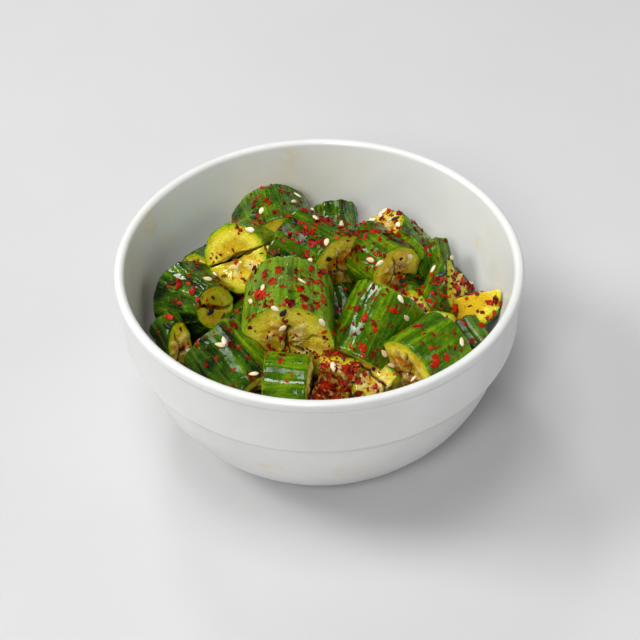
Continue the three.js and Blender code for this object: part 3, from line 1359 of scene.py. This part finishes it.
def resting(place: Vector, normal: Vector, chance: random.Random, tip_over: float) -> Matrix:
    """Returns the pose of a small flat thing that rests on a surface.

    Args:
        place: where it lies.
        normal: the surface's normal.
        chance: the random choices.
        tip_over: how far it may lean, in radians.

    Returns:
        A matrix whose Z is nearly the normal.
    """
    flat = normal.to_track_quat("Z", "Y").to_matrix().to_4x4()
    spin = Matrix.Rotation(chance.uniform(0, math.tau), 4, "Z")
    lean = Matrix.Rotation(chance.gauss(0, tip_over), 4, "X")
    return Matrix.Translation(place) @ flat @ spin @ lean


@dataclass
class Scatter:
    """One kind of topping as one mesh, with the tone of each piece stored on it."""

    name: str
    finish: Finish
    crisp: bool = False
    batches: list[bpy.types.Mesh] = field(default_factory=list)

    def __post_init__(self) -> None:
        """Starts the first batch."""
        self._start()

    def _start(self) -> None:
        """Opens an empty batch with the layer that holds each piece's tone."""
        self.bm = bmesh.new()
        self.layer = self.bm.verts.layers.float_vector.new("piece")

    def add(self, verts: list[bmesh.types.BMVert], tone: float, along: list[float]) -> None:
        """Stores a piece's tone, and how far along it each vertex is.

        Args:
            verts: the piece's vertices.
            tone: from 0, dark, to 1, light.
            along: a share of its length for each vertex.
        """
        for vert, share in zip(verts, along):
            vert[self.layer] = (tone, share, 0.0)

    def close_batch(self) -> None:
        """Sets the pieces made so far aside, which keeps adding more of them quick."""
        mesh = bpy.data.meshes.new(self.name)
        self.bm.to_mesh(mesh)
        self.bm.free()
        self.batches.append(mesh)
        self._start()

    def build(self) -> bpy.types.Object:
        """Returns the topping as an object."""
        self.close_batch()
        for mesh in self.batches:
            self.bm.from_mesh(mesh)
            bpy.data.meshes.remove(mesh)
        made = finished(self.name, self.bm, self.finish)
        if self.crisp:
            made.data.shade_flat()
        stand_for(made, HEAP_NODE, Slot.CUCUMBER)
        return made


@dataclass
class ChilliFlakes:
    """Crushed dried chilli, from dust to flakes 3 mm long, thick on the chunks' tops."""

    surface: Surface
    plans: tuple[ChunkPlan, ...] = CHUNKS
    ceiling: float = 70.1
    dust_share: float = 1.65
    thick: float = 1.35
    clump_share: float = 0.3

    def _flake(
        self, scatter: Scatter, chance: random.Random, place: Vector, normal: Vector, size: float
    ) -> None:
        """Adds one crumpled flake.

        Args:
            scatter: where the flakes are gathered.
            chance: the random choices.
            place: where it lies.
            normal: the surface's normal there.
            size: how far it is across, in mm.
        """
        pose = resting(place + normal * size * 0.1 * MM, normal, chance, 0.35)
        fine = size > 0.55
        made = bmesh.ops.create_icosphere(scatter.bm, subdivisions=2 if fine else 1, radius=0.5)
        width, thick = chance.uniform(0.35, 0.95), chance.uniform(0.14, 0.32)
        seed = chance.uniform(0, 500)
        for vert in made["verts"]:
            crumple = 1 + 0.8 * noise.noise(vert.co * 3.1 + Vector((seed, 0, 0)))
            shape = Vector((vert.co.x, vert.co.y * width, vert.co.z * thick)) * crumple
            shape.z += 0.25 * shape.x * shape.x * chance.choice((1, 1, -1)) if fine else 0
            vert.co = pose @ (shape * size * MM)
        scatter.add(made["verts"], chance.random() ** 1.3, [0.0] * len(made["verts"]))

    def _clump(self, chance: random.Random, place: Vector, normal: Vector) -> list[tuple[Vector, Vector]]:
        """Gathers a spot and, now and then, a few more close round it.

        Args:
            chance: the random choices.
            place: the spot.
            normal: the surface's normal there.

        Returns:
            The places with their normals.
        """
        found = [(place, normal)]
        if chance.random() < self.clump_share:
            across = normal.orthogonal().normalized()
            for _ in range(chance.randint(1, 4)):
                turned = Matrix.Rotation(chance.uniform(0, math.tau), 3, normal) @ across
                start = place + turned * abs(chance.gauss(0, 1.5)) * MM + normal * 2 * MM
                landed = self.surface.landing(start, -normal)
                if landed and (landed[0] - place).length < 3 * MM:
                    found.append(landed)
        return found

    def build(self) -> bpy.types.Object:
        """Returns all the flakes."""
        scatter = Scatter("chilli_flakes", CHILLI, crisp=True)
        chance = random.Random(11)
        for plan in self.plans:
            chunk = self.surface.chunks[plan.name]
            wanted = int(plan.flakes * self.thick)
            for place, normal in self.surface.open_spots(chunk, chance, wanted, FLAKE_FACING):
                for spot, facing in self._clump(chance, place, normal):
                    size = min(3.2, max(0.5, chance.lognormvariate(0.02, 0.5)))
                    if spot.z + (0.55 * size + 0.1) * MM < self.ceiling * MM:
                        self._flake(scatter, chance, spot, facing, size)
            wanted = int(plan.flakes * self.dust_share)
            for place, normal in self.surface.open_spots(chunk, chance, wanted, DUST_FACING):
                if place.z < (self.ceiling - 0.4) * MM:
                    self._flake(scatter, chance, place, normal, chance.uniform(0.18, 0.5))
            scatter.close_batch()
        return scatter.build()


@dataclass
class SesameSeeds:
    """Sesame seeds of one colour: flat drops 3.5 mm long, laid on the heap."""

    name: str
    finish: Finish
    surface: Surface
    counts: dict[str, int]
    seed: int
    length: float = 3.5
    width: float = 2.05
    thickness: float = 0.9
    ceiling: float = 70.3

    def _seed(self, scatter: Scatter, chance: random.Random, pose: Matrix) -> None:
        """Adds one seed, pointed at its far end.

        Args:
            scatter: where the seeds are gathered.
            chance: the random choices.
            pose: where and how it lies.
        """
        size = chance.uniform(0.92, 1.08)
        made = bmesh.ops.create_uvsphere(scatter.bm, u_segments=16, v_segments=10, radius=0.5)
        shares = []
        for vert in made["verts"]:
            share = vert.co.x + 0.5
            taper = 1 - 0.55 * share**2.2
            shares.append(share)
            width = vert.co.y * self.width * taper
            shape = Vector((vert.co.x * self.length, width, vert.co.z * self.thickness))
            vert.co = pose @ (shape * size * MM)
        scatter.add(made["verts"], chance.random(), shares)

    def build(self) -> bpy.types.Object:
        """Returns all the seeds of this colour."""
        scatter = Scatter(self.name, self.finish)
        chance = random.Random(self.seed)
        poses: list[Matrix] = []
        for chunk_name, wanted in self.counts.items():
            chunk = self.surface.chunks[chunk_name]
            for place, normal in self.surface.open_spots(chunk, chance, wanted, SEED_FACING):
                poses.append(resting(place + normal * SEED_LIFT * MM, normal, chance, 0.2))
        for pose in poses:
            if pose.translation.z + 0.55 * MM < self.ceiling * MM:
                self._seed(scatter, chance, pose)
        return scatter.build()


# ---------------------------------------------------------------- studio


@dataclass
class Softbox:
    """A square studio light, aimed at a point."""

    name: str
    place: Triple
    size: float
    power: float
    colour: Triple = (1.0, 1.0, 1.0)
    aim: Triple = (0.0, 0.0, 0.04)

    def build(self) -> bpy.types.Object:
        """Returns the light."""
        data = bpy.data.lights.new(self.name, "AREA")
        data.shape = "SQUARE"
        data.size = self.size
        data.energy = self.power
        data.color = self.colour
        made = bpy.data.objects.new(self.name, data)
        made.location = self.place
        way = Vector(self.aim) - Vector(self.place)
        made.rotation_euler = way.to_track_quat("-Z", "Y").to_euler()
        bpy.context.scene.collection.objects.link(made)
        return made


@dataclass
class Studio:
    """The pale table, the soft light and the camera."""

    table_size: float = 6.0
    world_colour: Colour = (0.95, 0.97, 1.0, 1.0)
    world_strength: float = 0.085
    lens: float = 112.3
    sight: Sight = field(default_factory=Sight)
    lights: tuple[Softbox, ...] = (
        Softbox("key", (-1.6, 0.15, 1.45), 0.75, 26.0, (1.0, 0.99, 0.97)),
        Softbox("top", (-0.35, 0.05, 1.9), 0.8, 14.0),
        Softbox("front_fill", (-0.4, -1.4, 1.4), 0.6, 19.0),
        Softbox("right_fill", (1.8, 0.2, 0.9), 1.0, 7.0),
        Softbox("back", (-0.45, 1.3, 1.35), 0.3, 5.0),
    )

    def _table(self) -> None:
        """Makes the tabletop."""
        bm = bmesh.new()
        bmesh.ops.create_grid(bm, x_segments=2, y_segments=2, size=self.table_size / 2)
        table = finished("tabletop", bm, Tabletop())

    def _world(self) -> None:
        """Makes the soft surrounding light."""
        world = bpy.data.worlds.new("soft_room")
        world.use_nodes = True
        background = world.node_tree.nodes["Background"]
        background.inputs["Color"].default_value = self.world_colour
        background.inputs["Strength"].default_value = self.world_strength
        bpy.context.scene.world = world

    def _camera(self) -> None:
        """Makes the camera, looking down at the bowl from the front."""
        across, over, forward = self.sight.axes()
        data = bpy.data.cameras.new("camera")
        data.lens = self.lens
        data.sensor_width = 36.0
        data.clip_start, data.clip_end = 0.05, 20.0
        made = bpy.data.objects.new("camera", data)
        axes = Matrix((across, over, -forward)).transposed().to_4x4()
        made.matrix_world = Matrix.Translation(self.sight.aim() - forward * self.sight.distance) @ axes
        bpy.context.scene.collection.objects.link(made)
        bpy.context.scene.camera = made

    def build(self) -> None:
        """Makes the table, lights and camera."""
        self._table()
        self._world()
        for light in self.lights:
            light.build()
        self._camera()
        bpy.context.scene.view_settings.view_transform = "Standard"


def main() -> None:
    """Builds the salad in its bowl, and the studio round it."""
    logging.basicConfig(level=logging.INFO, format="%(name)s: %(message)s")
    bowl = StonewareBowl()
    bowl.build()
    chunks = {plan.name: CucumberChunk(plan, bowl).build() for plan in CHUNKS}
    DressingAndShadeCore().build()
    surface = Surface(chunks)
    ChilliFlakes(surface).build()
    SesameSeeds("white_sesame_seeds", WHITE_SESAME, surface, WHITE_COUNTS, seed=5).build()
    SesameSeeds("black_sesame_seeds", BLACK_SESAME, surface, BLACK_COUNTS, seed=8).build()
    Studio().build()


if __name__ == "__main__":
    main()
